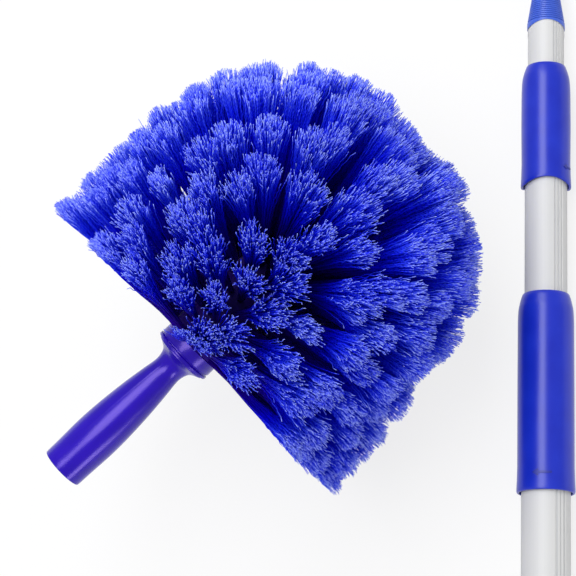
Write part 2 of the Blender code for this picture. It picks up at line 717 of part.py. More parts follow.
def add_pole(layout):
    place = (*POLE_FOOT_PLACE, GRIP_RADIUS)
    outer = add_empty("pole_axis", place, (0, QUARTER_TURN, POLE_TURN), layout)
    middle = add_empty("middle_section_axis", (0, 0, 0), (0, 0, 0), outer)
    inner = add_empty("inner_section_axis", (0, 0, 0), (0, 0, 0), middle)
    add_end_cap(outer)
    add_tube("outer_tube", OUTER_TUBE_RADIUS, OUTER_TUBE_LENGTH, OUTER_TUBE_FOOT, outer)
    add_hand_grip(outer)
    lower_sizes = (LOWER_SLEEVE_LENGTH, LOWER_SLEEVE_RADIUS, LOWER_SLEEVE_RIM_RADIUS)
    add_lock("lower", lower_sizes, MIDDLE_TUBE_RADIUS, OUTER_TUBE_RADIUS, OUTER_TUBE_TOP, outer)
    add_tube("middle_tube", MIDDLE_TUBE_RADIUS, MIDDLE_TUBE_LENGTH, MIDDLE_TUBE_FOOT, middle)
    outer_bore = OUTER_TUBE_RADIUS - TUBE_WALL
    add_foot_bush("middle_foot_bush", MIDDLE_TUBE_RADIUS, outer_bore, MIDDLE_TUBE_FOOT, middle)
    upper_sizes = (UPPER_SLEEVE_LENGTH, UPPER_SLEEVE_RADIUS, UPPER_SLEEVE_RIM_RADIUS)
    sleeve = add_lock("upper", upper_sizes, INNER_TUBE_RADIUS, MIDDLE_TUBE_RADIUS, MIDDLE_TUBE_TOP, middle)
    scallop_sleeve(sleeve, UPPER_SLEEVE_LENGTH, UPPER_SLEEVE_RIM_RADIUS)
    add_tube("inner_tube", INNER_TUBE_RADIUS, INNER_TUBE_LENGTH, INNER_TUBE_FOOT, inner)
    middle_bore = MIDDLE_TUBE_RADIUS - TUBE_WALL
    add_foot_bush("inner_foot_bush", INNER_TUBE_RADIUS, middle_bore, INNER_TUBE_FOOT, inner)
    add_cone_tip(inner)


def add_head(layout):
    head = add_empty("head_axis", (0, 0, AXIS_HEIGHT), (0, QUARTER_TURN, 0), layout)
    add_socket_handle(head)
    add_block_base(head)
    add_straight_rows(head)
    add_dome_rows(head)


def centre_on_footprint(layout):
    """Moves everything so that the origin is under the middle of the whole set."""
    bpy.context.view_layer.update()
    graph = bpy.context.evaluated_depsgraph_get()
    corners = []
    for part in PARTS.objects:
        if part.type == "MESH":
            shape = part.evaluated_get(graph)
            corners += [shape.matrix_world @ vertex.co for vertex in shape.data.vertices]
    for axis in (0, 1):
        values = [corner[axis] for corner in corners]
        layout.location[axis] = -(min(values) + max(values)) / 2


whole = add_empty("layout", (0, 0, 0), (0, 0, 0), None)
add_pole(whole)
add_head(whole)
centre_on_footprint(whole)
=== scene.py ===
import math

import bpy
import numpy as np
from mathutils import Euler, Matrix, Vector


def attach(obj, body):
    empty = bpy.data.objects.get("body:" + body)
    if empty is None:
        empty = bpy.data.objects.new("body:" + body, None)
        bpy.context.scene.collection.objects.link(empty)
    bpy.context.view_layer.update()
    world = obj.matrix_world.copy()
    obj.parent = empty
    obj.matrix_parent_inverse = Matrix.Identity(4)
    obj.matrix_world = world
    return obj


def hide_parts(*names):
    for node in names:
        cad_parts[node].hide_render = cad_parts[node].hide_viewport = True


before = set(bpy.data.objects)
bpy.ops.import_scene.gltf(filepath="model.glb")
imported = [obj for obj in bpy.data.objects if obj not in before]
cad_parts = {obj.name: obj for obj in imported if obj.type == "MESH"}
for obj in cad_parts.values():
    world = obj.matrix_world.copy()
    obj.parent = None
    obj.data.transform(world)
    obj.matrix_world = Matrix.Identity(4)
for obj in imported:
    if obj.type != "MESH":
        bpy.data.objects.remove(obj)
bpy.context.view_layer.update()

# The camera
# It looks down on the set from the side of the handle, turned on its own axis so that the pole
# runs straight up the picture, through a long lens that keeps the pole's sides nearly parallel.
aim = Vector((0.0455, 0.2305, 0.0500))
camera_distance = 1.244
camera_turn = math.radians(10.07)
camera_height = math.radians(66.4)
camera_roll = math.radians(-52.35)
looking = (
    Matrix.Rotation(camera_turn, 3, "Z")
    @ Matrix.Rotation(math.radians(90) - camera_height, 3, "X")
    @ Matrix.Rotation(camera_roll, 3, "Z")
)
camera_place = aim + looking @ Vector((0, 0, camera_distance))
bpy.ops.object.camera_add(location=camera_place, rotation=looking.to_euler())
camera = bpy.context.object
camera.data.lens = 150
camera.data.sensor_width = 36
camera.data.clip_end = 20
bpy.context.scene.camera = camera
bpy.context.scene.view_settings.view_transform = "Standard"


# The studio
# One soft box stands to the left of the camera and gives the long highlights on the handle and
# the sleeves. Weak ones above and below the picture lift the tips of the bristles. The floor is
# white, and glows a little where the camera or a reflection sees it.
def soft_box(name, *, across, up, towards, distance, width, height, power):
    """An area lamp placed as seen from the camera, aimed at the middle of the picture."""
    way = (looking @ Vector((across, up, towards))).normalized()
    upright = looking @ Vector((0, 1, 0))
    side = upright.cross(way).normalized()
    turn = Matrix((side, way.cross(side), way)).transposed()
    bpy.ops.object.light_add(type="AREA", location=aim + way * distance, rotation=turn.to_euler())
    lamp = bpy.context.object
    lamp.name = name
    lamp.data.shape = "RECTANGLE"
    lamp.data.size, lamp.data.size_y = width, height
    lamp.data.energy = power


soft_box(
    "key_box", across=-0.37, up=0.44, towards=1.0, distance=2.0, width=1.0, height=2.3, power=38
)
soft_box(
    "top_box", across=-0.30, up=1.0, towards=0.50, distance=1.9, width=1.0, height=0.6, power=6
)
soft_box(
    "low_box", across=0.45, up=-0.95, towards=0.40, distance=1.8, width=1.0, height=0.6, power=10
)

world = bpy.data.worlds.new("studio_air")
bpy.context.scene.world = world
world.use_nodes = True
studio_air = world.node_tree.nodes["Background"]
studio_air.inputs["Color"].default_value = (1, 1, 1, 1)
studio_air.inputs["Strength"].default_value = 0.48


class Wire:
    """One output of a material's nodes, so that a sum on wires adds its Math nodes."""

    def __init__(self, finish, socket):
        self.finish, self.socket = finish, socket

    def __add__(self, other):
        return self.finish.maths("ADD", self, other)

    def __sub__(self, other):
        return self.finish.maths("SUBTRACT", self, other)

    def __rsub__(self, other):
        return self.finish.maths("SUBTRACT", other, self)

    def __mul__(self, other):
        return self.finish.maths("MULTIPLY", self, other)

    __radd__ = __add__
    __rmul__ = __mul__


class Finish:
    """A material: values that are the same all over are set on its shader, wires are led there."""

    def __init__(self, name, **values):
        self.material = bpy.data.materials.new(name)
        self.material.use_nodes = True
        self.tree = self.material.node_tree
        self.shader = self.tree.nodes["Principled BSDF"]
        for socket, value in values.items():
            self.shader.inputs[socket.replace("_", " ")].default_value = value

    def node(self, kind, settings, sockets, output=0):
        """A node with its settings, and with a value or a wire for each of its sockets."""
        made = self.tree.nodes.new(kind)
        for name, value in settings.items():
            if name == "stops":
                while len(made.color_ramp.elements) < len(value):
                    made.color_ramp.elements.new(1)
                for element, (position, colour) in zip(made.color_ramp.elements, value):
                    element.position, element.color = position, colour
            else:
                setattr(made, name, value)
        for name, value in sockets.items():
            if isinstance(value, Wire):
                self.tree.links.new(value.socket, made.inputs[name])
            else:
                made.inputs[name].default_value = value
        return Wire(self, made.outputs[output])

    def maths(self, operation, *values, clamp=False):
        settings = {"operation": operation, "use_clamp": clamp}
        return self.node("ShaderNodeMath", settings, dict(enumerate(values)))

    def lead(self, socket, wire):
        self.tree.links.new(wire.socket, self.shader.inputs[socket])

    def mix(self, share, first, second):
        """A colour between two colours, by a share from 0 to 1."""
        sockets = {0: share, 6: first, 7: second}
        return self.node("ShaderNodeMix", {"data_type": "RGBA"}, sockets, output=2)

    def along(self, place, turn):
        """Object coordinates, moved and turned so that their Z runs along the piece's own axis."""
        where = self.node("ShaderNodeTexCoord", {}, {}, output="Object")
        sockets = {"Vector": where, "Location": place, "Rotation": turn}
        return self.node("ShaderNodeMapping", {"vector_type": "TEXTURE"}, sockets)

    def stretched(self, where, scale):
        return self.node("ShaderNodeMapping", {}, {"Vector": where, "Scale": scale})

    def one_of(self, where, axis):
        """The X, Y or Z of a place, as a number."""
        return self.node("ShaderNodeSeparateXYZ", {}, {0: where}, output=axis)

    def noise(self, where, scale, detail=2.0):
        sockets = {"Vector": where, "Scale": scale, "Detail": detail}
        return self.node("ShaderNodeTexNoise", {}, sockets)

    def bump(self, height, strength, distance):
        sockets = {"Height": height, "Strength": strength, "Distance": distance}
        self.lead("Normal", self.node("ShaderNodeBump", {}, sockets))


floor_depth, floor_glow = 0.0002, 0.80
bpy.ops.mesh.primitive_plane_add(size=40, location=(0, 0, -floor_depth))
floor = bpy.context.object
floor.name = "white_floor"
floor_white = Finish(
    "white_floor", Base_Color=(0.80, 0.80, 0.80, 1), Roughness=0.9, Specular_IOR_Level=0
)
camera_sees = floor_white.node("ShaderNodeLightPath", {}, {}, output="Is Camera Ray")
gloss_shows = floor_white.node("ShaderNodeLightPath", {}, {}, output="Is Glossy Ray")
lit = Wire(floor_white, floor_white.shader.outputs[0])
glowing = floor_white.node("ShaderNodeEmission", {}, {})
white = floor_white.node(
    "ShaderNodeMixShader", {}, {0: (camera_sees + gloss_shows) * floor_glow, 1: lit, 2: glowing}
)
floor_surface = floor_white.tree.nodes["Material Output"].inputs["Surface"]
floor_white.tree.links.new(white.socket, floor_surface)
floor.data.materials.append(floor_white.material)


# The tubes of the pole
# Three drawn aluminium tubes, satin anodised, slide in each other. Each has three narrow flutes
# along one side, and carries the faint straight lines of the drawing die.
pole_place = Vector((-0.2687616, -0.3191994, 0.0152))
pole_turn = Euler((0, math.radians(90), math.radians(48.54)))
tube_wall = 0.0007
tube_sides = 138
flute_depth = 0.00042
flute_middle = math.radians(-130.5)
flute_step = math.radians(10.435)
# Each tube's name, its body, its radius, and where its foot and its top are along the pole
tubes = (
    ("outer_tube", "outer_section", 0.0125, 0.0178, 0.5778),
    ("middle_tube", "middle_section", 0.0110, 0.1617, 0.7017),
    ("inner_tube", "inner_section", 0.0095, 0.2254, 0.7654),
)


def paint(red, green, blue):
    """A colour given as it shows on a screen, from 0 to 255."""
    shares = [value / 255 for value in (red, green, blue)]
    light = [s / 12.92 if s < 0.04045 else ((s + 0.055) / 1.055) ** 2.4 for s in shares]
    return (*light, 1.0)


def pick(piece):
    """Selects one piece alone and makes it the active one."""
    bpy.ops.object.select_all(action="DESELECT")
    piece.select_set(True)
    bpy.context.view_layer.objects.active = piece


def put(piece, name, place, turn, finish):
    """Names a piece, lays it in its place with its object back at the origin, and paints it."""
    pick(piece)
    piece.name = name
    piece.data.name = name
    piece.location, piece.rotation_euler = place, turn
    bpy.ops.object.transform_apply(location=True, rotation=True, scale=True)
    piece.data.materials.clear()
    piece.data.materials.append(finish.material)


def edit_all():
    bpy.ops.object.mode_set(mode="EDIT")
    bpy.ops.mesh.select_all(action="SELECT")


def draw_ring(radius, height, sides):
    """A ring of edges round Z, left open in edit mode with all of it selected."""
    bpy.ops.object.select_all(action="DESELECT")
    bpy.ops.mesh.primitive_circle_add(vertices=sides, radius=radius)
    edit_all()
    bpy.ops.transform.translate(value=(0, 0, height))
    return bpy.context.object


def extrude_ring(outline):
    """Draws the selected ring along (radius, height) points, from the first of them on."""
    for (radius, height), (next_radius, next_height) in zip(outline, outline[1:]):
        move = {"value": (0, 0, next_height - height)}
        bpy.ops.mesh.extrude_region_move(TRANSFORM_OT_translate=move)
        grow = next_radius / radius
        bpy.ops.transform.resize(value=(grow, grow, 1), center_override=(0, 0, next_height))
        if next_radius == 0:
            bpy.ops.mesh.merge(type="CENTER")


def close_shell():
    """Joins what meets, closes the ends, turns the faces outwards and leaves edit mode."""
    bpy.ops.mesh.select_all(action="SELECT")
    bpy.ops.mesh.remove_doubles(threshold=0.000005)
    bpy.ops.mesh.fill_holes(sides=0)
    bpy.ops.mesh.normals_make_consistent(inside=False)
    bpy.ops.object.mode_set(mode="OBJECT")


def shade(piece):
    """Shades a piece smooth, but for its sharp edges."""
    pick(piece)
    bpy.ops.object.shade_smooth_by_angle(angle=math.radians(40))


anodised = Finish("satin_anodised", Metallic=0.08, Roughness=0.55, Specular_IOR_Level=0.2)
on_pole = anodised.along(pole_place, pole_turn)
die_lines = anodised.noise(anodised.stretched(on_pole, (1.0, 1.0, 0.004)), 1400, 3.0)
clouds = anodised.noise(anodised.stretched(on_pole, (1.0, 1.0, 0.2)), 60)
drawn = anodised.mix(die_lines * 0.55 + clouds * 0.45, paint(196, 197, 198), paint(210, 210, 209))
# The flutes are painted a slight shade: how many flutes off the middle one a point is, and how
# far from the nearest of the three
round_pole = anodised.maths("ARCTAN2", anodised.one_of(on_pole, "Y"), anodised.one_of(on_pole, "X"))
flutes_off = (round_pole - flute_middle) * (1 / flute_step)
off_flute = anodised.maths("ABSOLUTE", flutes_off - anodised.maths("ROUND", flutes_off))
by_flutes = anodised.maths("LESS_THAN", anodised.maths("ABSOLUTE", flutes_off), 1.5)
flute_painted_shade = anodised.maths("MULTIPLY", 1 - off_flute * 4.0, by_flutes, clamp=True)
# The darker grey in the flutes is painted shade
anodised.lead("Base Color", anodised.mix(flute_painted_shade, drawn, paint(168, 169, 172)))
anodised.lead("Roughness", die_lines * 0.14 + 0.48)
anodised.bump(die_lines, 0.25, 0.00005)

for tube_name, tube_body, radius, foot, top in tubes:
    tube = draw_ring(radius, foot, tube_sides)
    bpy.ops.transform.rotate(value=-flute_middle, orient_axis="Z", center_override=(0, 0, 0))
    bpy.ops.object.mode_set(mode="OBJECT")
    for number in (-1, 0, 1):
        angle = flute_middle + number * flute_step
        flute = Vector((radius * math.cos(angle), radius * math.sin(angle)))
        nearest = min(tube.data.vertices, key=lambda vertex: (vertex.co.xy - flute).length)
        nearest.co.xy *= (radius - flute_depth) / radius
    edit_all()
    bore = radius - tube_wall
    extrude_ring([(radius, foot), (radius, top), (bore, top), (bore, foot), (radius, foot)])
    close_shell()
    shade(tube)
    put(tube, tube_name + "_fluted", pole_place, pole_turn, anodised)
    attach(tube, tube_body)
    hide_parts(tube_name)


# The lock sleeves
# Blue polypropylene mouldings that are gripped and turned to loosen or clamp the tubes. Each has
# a short conical nose round the thinner tube, a plain barrel and a thickened foot.
sleeve_sides = 96
camera_side = math.radians(-161.5)
foot_arch_height = 0.0300
sleeve_blue = Finish("sleeve_blue", Roughness=0.30, Specular_IOR_Level=0.45)
skin = sleeve_blue.along(pole_place, pole_turn)
mottle = sleeve_blue.noise(skin, 90, 3.0)
sleeve_blue.lead("Base Color", sleeve_blue.mix(mottle, paint(12, 32, 166), paint(22, 48, 190)))
sleeve_blue.lead("Roughness", mottle * 0.10 + 0.25)
sleeve_blue.bump(sleeve_blue.noise(skin, 2600, 2.0), 0.08, 0.00006)


def turned(outline, sides):
    """A closed piece turned on a lathe, from the (radius, height) points of its outline."""
    piece = draw_ring(*outline[0], sides)
    extrude_ring(outline)
    close_shell()
    return piece


def off_side(vertex):
    """How far a point of the pole lies to the side of its axis, as the camera sees it."""
    return vertex.co.x * math.sin(camera_side) - vertex.co.y * math.cos(camera_side)


def lock_sleeve(name, body, node, *, top, length, nose, barrel, foot_radius, bore, neck, arch):
    """Drawn down the outside from the nose and back up the bore to the neck. The nose is given as
    (radius, depth below the top) points, and arch is how far the foot is scalloped."""
    foot = top - length
    outline = [(neck + 0.0001, top)] + [(radius, top - depth) for radius, depth in nose]
    outline += [
        (barrel, top - 0.0150),
        (barrel + 0.0001, (top + foot) / 2),
        (foot_radius - 0.0004, foot + 0.0130),
        (foot_radius - 0.0002, foot + 0.0060),
        (foot_radius, foot + 0.0020),
        (foot_radius, foot + 0.0010),
        (foot_radius - 0.0002, foot + 0.0003),
        (foot_radius - 0.0007, foot),
        (bore, foot + 0.0001),
        (bore, top - 0.0155),
        (neck, top - 0.0130),
        (neck, top - 0.0001),
        (neck + 0.0001, top),
    ]
    sleeve = turned(outline, sleeve_sides)
    for vertex in sleeve.data.vertices:
        low = max(0.0, 1 - (vertex.co.z - foot) / foot_arch_height)
        vertex.co.z += arch * max(0.0, 1 - (off_side(vertex) / foot_radius) ** 2) * low
    shade(sleeve)
    put(sleeve, name, pole_place, pole_turn, sleeve_blue)
    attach(sleeve, body)
    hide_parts(node)


# The arrows are painted a darker blue than the sleeves, as painted shade
mark_painted_shade = Finish("sleeve_mark_painted_shade", Roughness=0.40)
mark_grain = mark_painted_shade.noise(mark_painted_shade.along(pole_place, pole_turn), 900, 2.0)
mark_painted_shade.lead("Base Color", mark_painted_shade.mix(mark_grain, paint(10, 24, 132), paint(20, 38, 152)))
mark_painted_shade.lead("Roughness", mark_grain * 0.15 + 0.32)


def turn_mark(name, body, *, radius, height, angle, length):
    """A raised arrow, moulded round the sleeve, that shows which way to turn it: a bar with a
    pointed head drawn flat, thickened, and then laid round the barrel."""
    bar, head, proud = length * 0.11, length * 0.36, 0.0003
    head_radius, bar_short_by = head * 0.62, head * 0.85
    middle = -bar_short_by / 2
    bpy.ops.object.select_all(action="DESELECT")
    bpy.ops.mesh.primitive_plane_add(size=1, location=(middle, 0, 0))
    arrow = bpy.context.object
    bpy.ops.object.transform_apply(location=True, rotation=True, scale=True)
    edit_all()
    bpy.ops.transform.resize(value=(length - bar_short_by, bar, 1), center_override=(middle, 0, 0))
    bpy.ops.mesh.subdivide(number_cuts=6)
    bpy.ops.mesh.select_all(action="DESELECT")
    bpy.ops.mesh.primitive_circle_add(
        vertices=3, radius=head_radius, fill_type="NGON",
        location=(length / 2 - head_radius, 0, 0), rotation=(0, 0, math.radians(-90)),
    )
    bpy.ops.mesh.quads_convert_to_tris()
    bpy.ops.mesh.subdivide(number_cuts=5)
    bpy.ops.mesh.select_all(action="SELECT")
    move = {"value": (0, 0, proud * 2)}
    bpy.ops.mesh.extrude_region_move(TRANSFORM_OT_translate=move)
    close_shell()
    for vertex in arrow.data.vertices:
        turn = angle - vertex.co.x / radius
        away = radius - proud + vertex.co.z
        vertex.co = (away * math.cos(turn), away * math.sin(turn), height + vertex.co.y)
    edit_all()
    close_shell()
    shade(arrow)
    put(arrow, name, pole_place, pole_turn, mark_painted_shade)
    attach(arrow, body)


lower_nose = (
    (0.01190, 0.0000), (0.01215, 0.0003), (0.01280, 0.0022), (0.01335, 0.0044), (0.01375, 0.0062),
    (0.01390, 0.0067), (0.01415, 0.0088), (0.01430, 0.0115),
)
upper_nose = (
    (0.01010, 0.0000), (0.01035, 0.0003), (0.01090, 0.0018), (0.01145, 0.0034), (0.01180, 0.0047),
    (0.01195, 0.0052), (0.01230, 0.0068), (0.01258, 0.0095), (0.01272, 0.0125),
)
lock_sleeve(
    "lower_sleeve_moulding", "lower_sleeve", "lower_lock_sleeve", top=0.6177, length=0.1032,
    nose=lower_nose, barrel=0.0144, foot_radius=0.0149, bore=0.0136, neck=0.0113, arch=0,
)
lock_sleeve(
    "upper_sleeve_moulding", "upper_sleeve", "upper_lock_sleeve", top=0.7416, length=0.0670,
    nose=upper_nose, barrel=0.0128, foot_radius=0.0131, bore=0.0119, neck=0.0099, arch=0.0035,
)
turn_mark(
    "lower_turn_arrow", "lower_sleeve",
    radius=0.0147, height=0.5232, angle=math.radians(-176), length=0.0102,
)
turn_mark(
    "upper_turn_arrow", "upper_sleeve",
    radius=0.0129, height=0.6845, angle=math.radians(-108), length=0.0070,
)


# The cone tip and its pins
# A blue moulding plugged into the inner tube. Fine ribs run round its foot, where the head's
# socket grips, and its plain end tapers. Two steel drive pins hold it in the tube.
cone_foot = 0.7654
lip_radius, lip_height, lip_droop = 0.0099, 0.0010, 0.0027
cone_ribs, ribbed_length = 11, 0.0130
rib_pitch = ribbed_length / cone_ribs
widest_rib, ribs_narrow_by = 0.0098, 0.0021
cone_outline = [
    (0.0001, cone_foot + 0.0002), (0.00954, cone_foot + 0.0002), (0.00958, cone_foot),
    (0.00985, cone_foot - 0.0001), (0.00998, cone_foot + 0.0004),
    (lip_radius, cone_foot + lip_height),
]
for rib in range(cone_ribs):
    low = cone_foot + lip_height + rib * rib_pitch
    radius = widest_rib - ribs_narrow_by * (rib + 1) / cone_ribs
    cone_outline += [
        (radius - 0.00050, low + rib_pitch * 0.22),
        (radius - 0.00002, low + rib_pitch * 0.46),
        (radius + 0.00006, low + rib_pitch * 0.72),
        (radius + 0.00002, low + rib_pitch),
    ]
cone_end = (
    (0.00745, 0.0160), (0.00700, 0.0300), (0.00662, 0.0430), (0.00640, 0.0444), (0.00590, 0.0450),
    (0.00400, 0.0450), (0.00380, 0.0440), (0, 0.0440),
)
cone_outline += [(radius, cone_foot + height) for radius, height in cone_end]
cone = turned(cone_outline, 96)
# The lip round the foot dips on both sides
for vertex in cone.data.vertices:
    if vertex.co.xy.length > 0.00956 and vertex.co.z < cone_foot + 0.0011:
        low = 1 - (vertex.co.z - cone_foot) / 0.0012
        vertex.co.z -= lip_droop * (off_side(vertex) / lip_radius) ** 2 * low
shade(cone)
cone_blue = Finish("cone_blue", Roughness=0.36, Specular_IOR_Level=0.4)
cone_skin = cone_blue.along(pole_place, pole_turn)
cone_mottle = cone_blue.noise(cone_skin, 140, 3.0)
cone_blue.lead("Base Color", cone_blue.mix(cone_mottle, paint(52, 82, 190), paint(74, 108, 210)))
cone_blue.lead("Roughness", cone_mottle * 0.12 + 0.30)
cone_blue.bump(cone_blue.noise(cone_skin, 2400, 2.0), 0.10, 0.00006)
put(cone, "cone_tip_ribbed", pole_place, pole_turn, cone_blue)
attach(cone, "inner_section")
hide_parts("cone_tip")

pin_steel = Finish("pin_steel", Metallic=1.0, Roughness=0.3)
pin_scratches = pin_steel.noise(pin_steel.along(pole_place, pole_turn), 3000, 3.0)
pin_greys = paint(186, 187, 190), paint(214, 214, 216)
pin_steel.lead("Base Color", pin_steel.mix(pin_scratches, *pin_greys))
pin_steel.lead("Roughness", pin_scratches * 0.2 + 0.22)
# The pins lie across the pole, with their heads in the wall of the inner tube
pin_outline = [
    (0.0013, -0.0022), (0.0013, -0.0002), (0.0019, -0.0002), (0.00190, 0.00002),
    (0.0017, 0.00008), (0.0009, 0.00012), (0, 0.00013),
]
pin_reach, pin_height = 0.0095, cone_foot - 0.0060
quarter_turn = math.pi / 2
for pin_name, angle in (
    ("tip_pin_right", camera_side + quarter_turn),
    ("tip_pin_left", camera_side - quarter_turn),
):
    pin = turned(pin_outline, 32)
    shade(pin)
    seat = Vector((pin_reach * math.cos(angle), pin_reach * math.sin(angle), pin_height))
    lying = Euler((0, math.radians(90), angle)).to_matrix().to_4x4()
    pin.data.transform(Matrix.Translation(seat) @ lying)
    put(pin, pin_name + "_head", pole_place, pole_turn, pin_steel)
    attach(pin, "inner_section")
    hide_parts(pin_name)


# The hand grip
# A soft sleeve pushed over the foot of the outer tube. Turned finger grooves and fine rings keep
# it from slipping in a wet hand.
grip_foot, grip_length = 0.0178, 0.1200
grip_radius, grip_bore = 0.0152, 0.01265
finger_grooves, groove_depth = 5, 0.0008
grip_steps, ring_depth = 120, 0.00022
grip_top = grip_foot + grip_length
grip_outline = [(grip_bore, grip_foot + 0.0002), (0.0140, grip_foot), (0.0149, grip_foot + 0.0006)]
for step in range(2, grip_steps - 1):
    share = step / grip_steps
    groove = ring = 0.0
    if 0.04 < share < 0.96:
        groove = groove_depth * max(0.0, -math.cos(share * finger_grooves * 2 * math.pi)) ** 2
    if step % 2:
        ring = ring_depth
    grip_outline.append((grip_radius - groove - ring, grip_foot + grip_length * share))
grip_outline += [
    (0.0149, grip_top - 0.0006), (0.0140, grip_top), (grip_bore, grip_top - 0.0002),
    (grip_bore, grip_foot + 0.0002),
]
grip = turned(grip_outline, 72)
shade(grip)
grip_rubber = Finish("grip_rubber", Roughness=0.62)
grip_skin = grip_rubber.along(pole_place, pole_turn)
grip_mottle = grip_rubber.noise(grip_skin, 120, 4.0)
grip_rubber.lead("Base Color", grip_rubber.mix(grip_mottle, paint(20, 34, 160), paint(34, 52, 186)))
grip_rubber.lead("Roughness", grip_mottle * 0.2 + 0.52)
grip_rubber.bump(grip_rubber.noise(grip_skin, 1800, 3.0), 0.25, 0.00010)
put(grip, "hand_grip_soft", pole_place, pole_turn, grip_rubber)
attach(grip, "outer_section")
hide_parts("hand_grip")


# The end cap
# A blue moulding plugged into the foot of the outer tube, with a round-ended tongue and a hole
# that the pole hangs by.
cap_finish = Finish("cap_blue", Roughness=0.4)
cap_skin = cap_finish.along(pole_place, pole_turn)
cap_mottle = cap_finish.noise(cap_skin, 140, 3.0)
cap_finish.lead("Base Color", cap_finish.mix(cap_mottle, paint(24, 40, 180), paint(40, 60, 204)))
cap_finish.lead("Roughness", cap_mottle * 0.14 + 0.32)
cap_finish.bump(cap_finish.noise(cap_skin, 2400, 2.0), 0.10, 0.00006)
cap_outline = [
    (0.0116, 0.0375), (0.0116, 0.0175), (0.0134, 0.0175), (0.0138, 0.0171), (0.0138, 0.0141),
    (0.0132, 0.0135), (0.0060, 0.0135), (0, 0.0135),
]
cap = turned(cap_outline, 72)

eye_radius, eye_thickness, eye_hole = 0.0095, 0.0060, 0.0052
tongue_top = 0.0148
eye_middle, across_pole = (0, 0, eye_radius), (0, math.radians(90), 0)
bpy.ops.object.select_all(action="DESELECT")
bpy.ops.mesh.primitive_cylinder_add(
    vertices=72, radius=eye_radius, depth=eye_thickness, location=eye_middle, rotation=across_pole
)
eye = bpy.context.object
bpy.ops.object.transform_apply(location=True, rotation=True, scale=True)
# Its upper half is drawn up into the cap as a straight tongue
for vertex in eye.data.vertices:
    if vertex.co.z > eye_radius + 0.0001:
        vertex.co.z = tongue_top
        if abs(vertex.co.y) > 0.0048:
            vertex.co.y = math.copysign(eye_radius, vertex.co.y)
bpy.ops.object.select_all(action="DESELECT")
bpy.ops.mesh.primitive_cylinder_add(
    vertices=48, radius=eye_hole, depth=0.02, location=eye_middle, rotation=across_pole
)
drill = bpy.context.object
pick(eye)
bored = eye.modifiers.new("hole", "BOOLEAN")
bored.operation, bored.object = "DIFFERENCE", drill
bpy.ops.object.modifier_apply(modifier=bored.name)
bpy.data.objects.remove(drill, do_unlink=True)
rounded = eye.modifiers.new("rounded_edges", "BEVEL")
rounded.width, rounded.segments = 0.0006, 3
rounded.limit_method, rounded.angle_limit = "ANGLE", math.radians(40)
rounded.use_clamp_overlap = True
bpy.ops.object.modifier_apply(modifier=rounded.name)
shade(eye)
put(cap, "end_cap_plug", pole_place, pole_turn, cap_finish)
put(eye, "end_cap_eye", pole_place, pole_turn, cap_finish)
for piece in (cap, eye):
    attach(piece, "outer_section")
    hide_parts("end_cap")


# The parts inside the locks
# White nylon: threaded collars with slotted fingers, split clamp rings and guide bushes. They
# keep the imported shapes, and show only where a sleeve's neck or a tube's end is looked into.
nylon = Finish("white_nylon", Roughness=0.5)
nylon_skin = nylon.along(pole_place, pole_turn)
nylon_mottle = nylon.noise(nylon_skin, 300, 3.0)
nylon.lead("Base Color", nylon.mix(nylon_mottle, paint(214, 214, 208), paint(232, 232, 228)))
nylon.lead("Roughness", nylon_mottle * 0.2 + 0.4)
for node in (
    "lower_collar", "upper_collar", "lower_clamp_ring", "upper_clamp_ring", "middle_foot_bush",
    "inner_foot_bush",
):
    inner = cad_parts[node]
    inner.data.materials.clear()
    inner.data.materials.append(nylon.material)


# The socket handle
# A glossy violet moulding that the pole's cone pushes into. It swells to a belly for the hand,
# narrows to a neck and flares into the stepped flange that carries the brush block.
head_place = Vector((-0.0960616, 0.2216006, 0.0995))
head_turn = Euler((0, math.radians(90), 0))
handle_length, handle_radius, handle_sides = 0.0820, 0.0115, 128
# Points along the grip, as shares of its length and of its radius
handle_shape = (
    (0.000, 1.000), (0.100, 1.010), (0.270, 1.043), (0.390, 1.026), (0.510, 0.974), (0.650, 0.887),
    (0.790, 0.765), (0.880, 0.680), (0.930, 0.715), (0.970, 0.860), (1.000, 1.220),
)


def smooth_outline(points, steps):
    """Points on an even curve through a few shares of a piece's length and radius."""
    lengths = [length for length, _ in points]
    radii = [radius for _, radius in points]
    last = len(points) - 1
    slopes = []
    for number in range(len(points)):
        before, after = max(0, number - 1), min(last, number + 1)
        slopes.append((radii[after] - radii[before]) / (lengths[after] - lengths[before]))
    curve = []
    for here in range(last):
        there = here + 1
        width = lengths[there] - lengths[here]
        for step in range(steps):
            s = step / steps
            radius = (
                (2 * s**3 - 3 * s**2 + 1) * radii[here]
                + (s**3 - 2 * s**2 + s) * width * slopes[here]
                + (-2 * s**3 + 3 * s**2) * radii[there]
                + (s**3 - s**2) * width * slopes[there]
            )
            curve.append((lengths[here] + s * width, radius))
    return curve + [points[-1]]


# Up the socket, out over the mouth's rim, along the grip, and over the stepped flange
handle_outline = [
    (0.0001, 0.0470), (0.00685, 0.0470), (0.00795, 0.0140), (0.01005, 0.0004),
    (0.01020, 0.0000), (0.01110, 0.0000), (0.01140, 0.0002),
]
for length_share, radius_share in smooth_outline(handle_shape, 5)[1:]:
    handle_outline.append((handle_radius * radius_share, handle_length * length_share))
handle_outline += [
    (0.01420, 0.0820), (0.01440, 0.0822), (0.01440, 0.0829), (0.01580, 0.0830), (0.01600, 0.0833),
    (0.01600, 0.0841), (0.01585, 0.0845), (0.01540, 0.0846), (0.01525, 0.0850), (0.01525, 0.0853),
    (0.01570, 0.0856), (0.01580, 0.0860), (0.01575, 0.0912), (0.01500, 0.0914), (0, 0.0914),
]
handle = turned(handle_outline, handle_sides)
